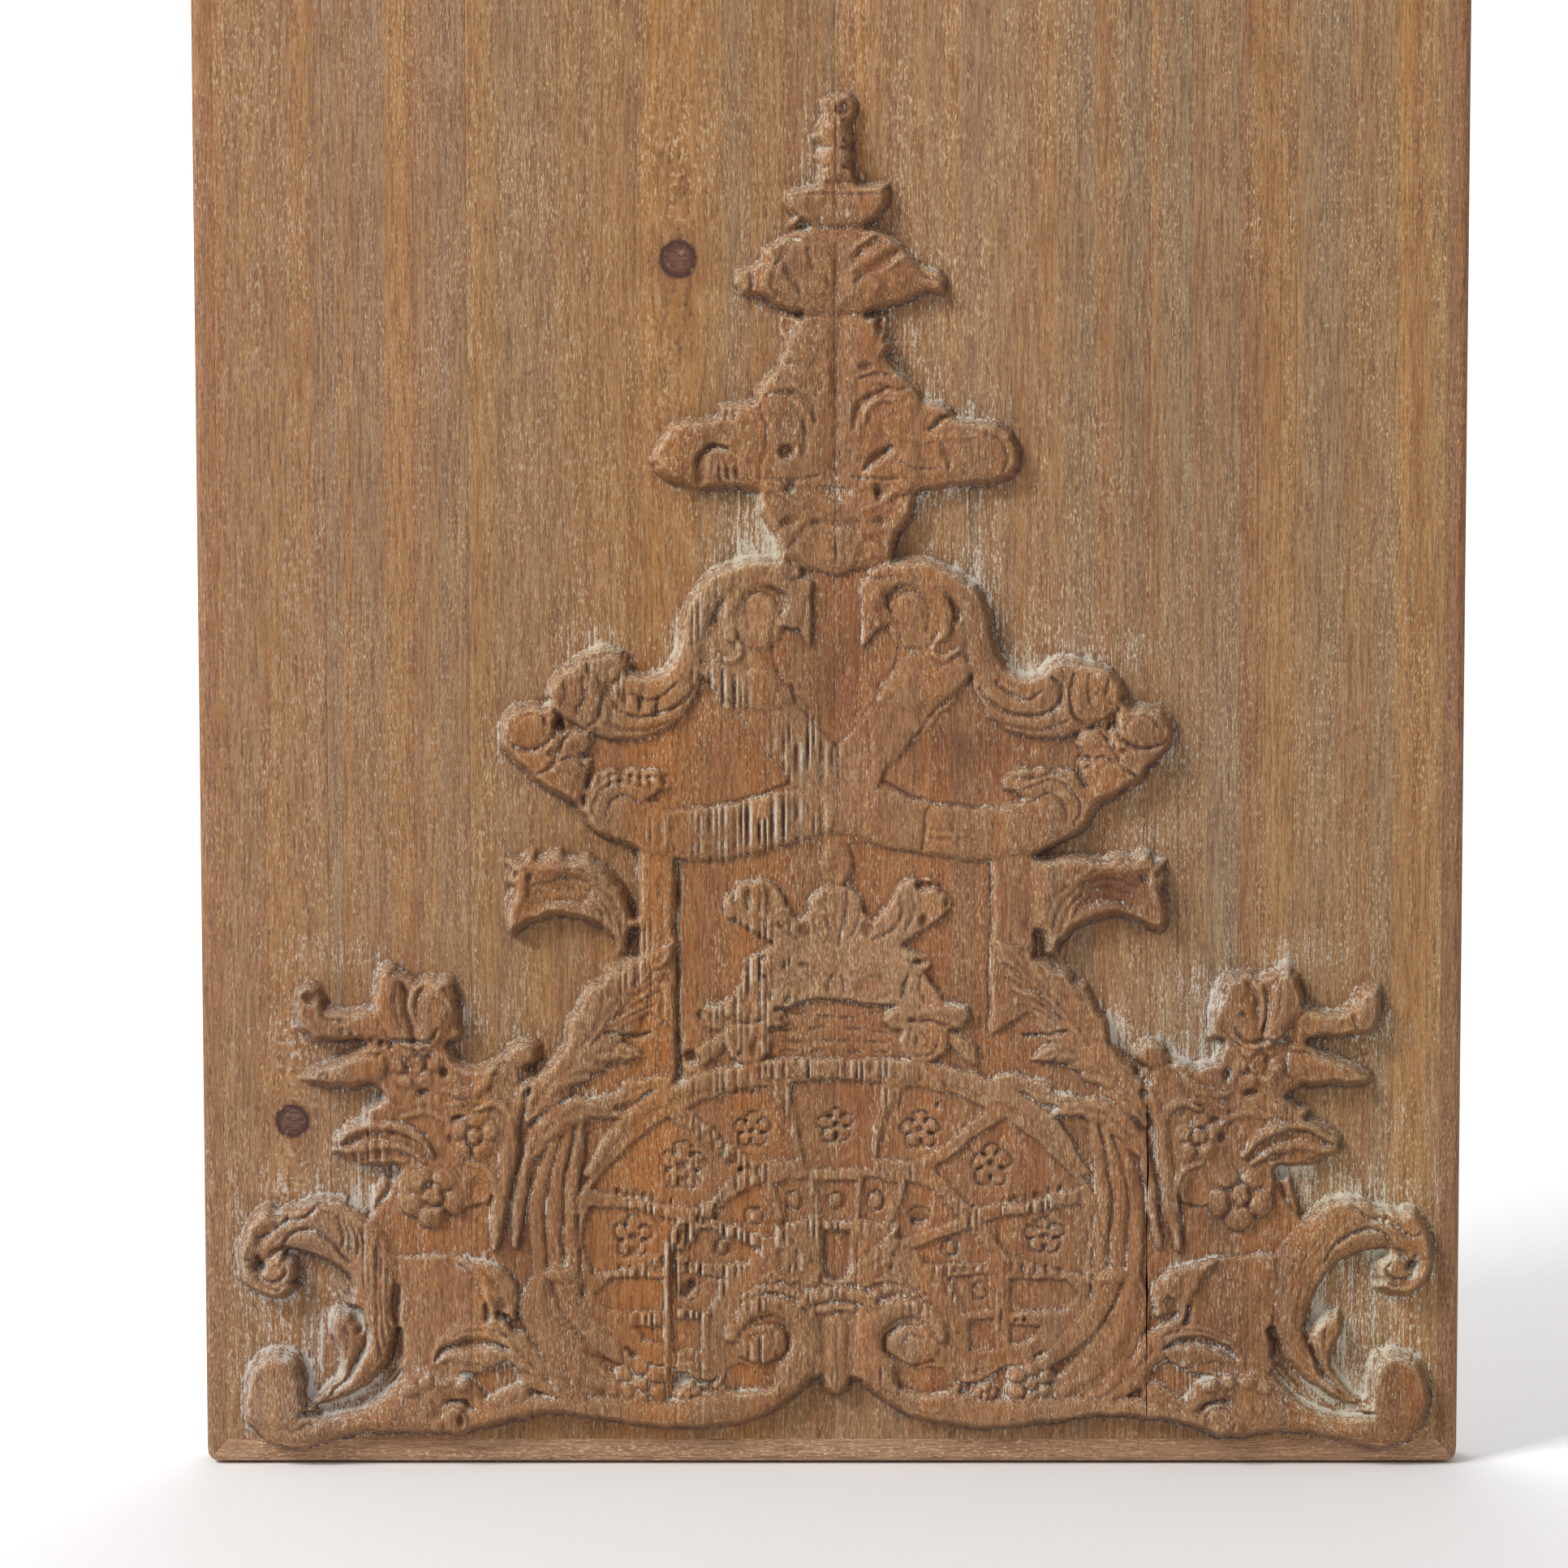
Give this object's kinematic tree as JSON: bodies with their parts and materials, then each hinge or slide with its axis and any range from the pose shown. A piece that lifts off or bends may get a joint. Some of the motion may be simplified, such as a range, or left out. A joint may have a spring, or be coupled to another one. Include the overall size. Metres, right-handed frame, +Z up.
{
  "type": "carved wall panel",
  "caption": "Tall wooden wall panel of glued boards in a mitred edging, its lower part carved in low relief with scrolls, leaves, flowers and a latticed fan.",
  "frame": {"origin": "centre of the flat back, where the panel lies against the wall", "axes": "+Z up along the boards, +Y into the wall, so the carved face looks along -Y; +X to the right seen from the front"},
  "size_m": [0.406, 0.0287, 1.016],
  "materials": {
    "carved_boards": "limed fir, brushed and oiled, matt, with pale wash left in the recesses",
    "edging": "limed fir strip, matt, rounded and darkened along its outer edge"
  },
  "bodies": {
    "root": {"board_1_left_edge": "carved_boards", "board_2_left": "carved_boards", "board_3_left_of_middle": "carved_boards", "board_4_right_of_middle": "carved_boards", "board_5_right": "carved_boards", "board_6_right_edge": "carved_boards", "edging_left": "edging", "edging_right": "edging", "edging_bottom": "edging", "edging_top": "edging"}
  },
  "joints": []
}
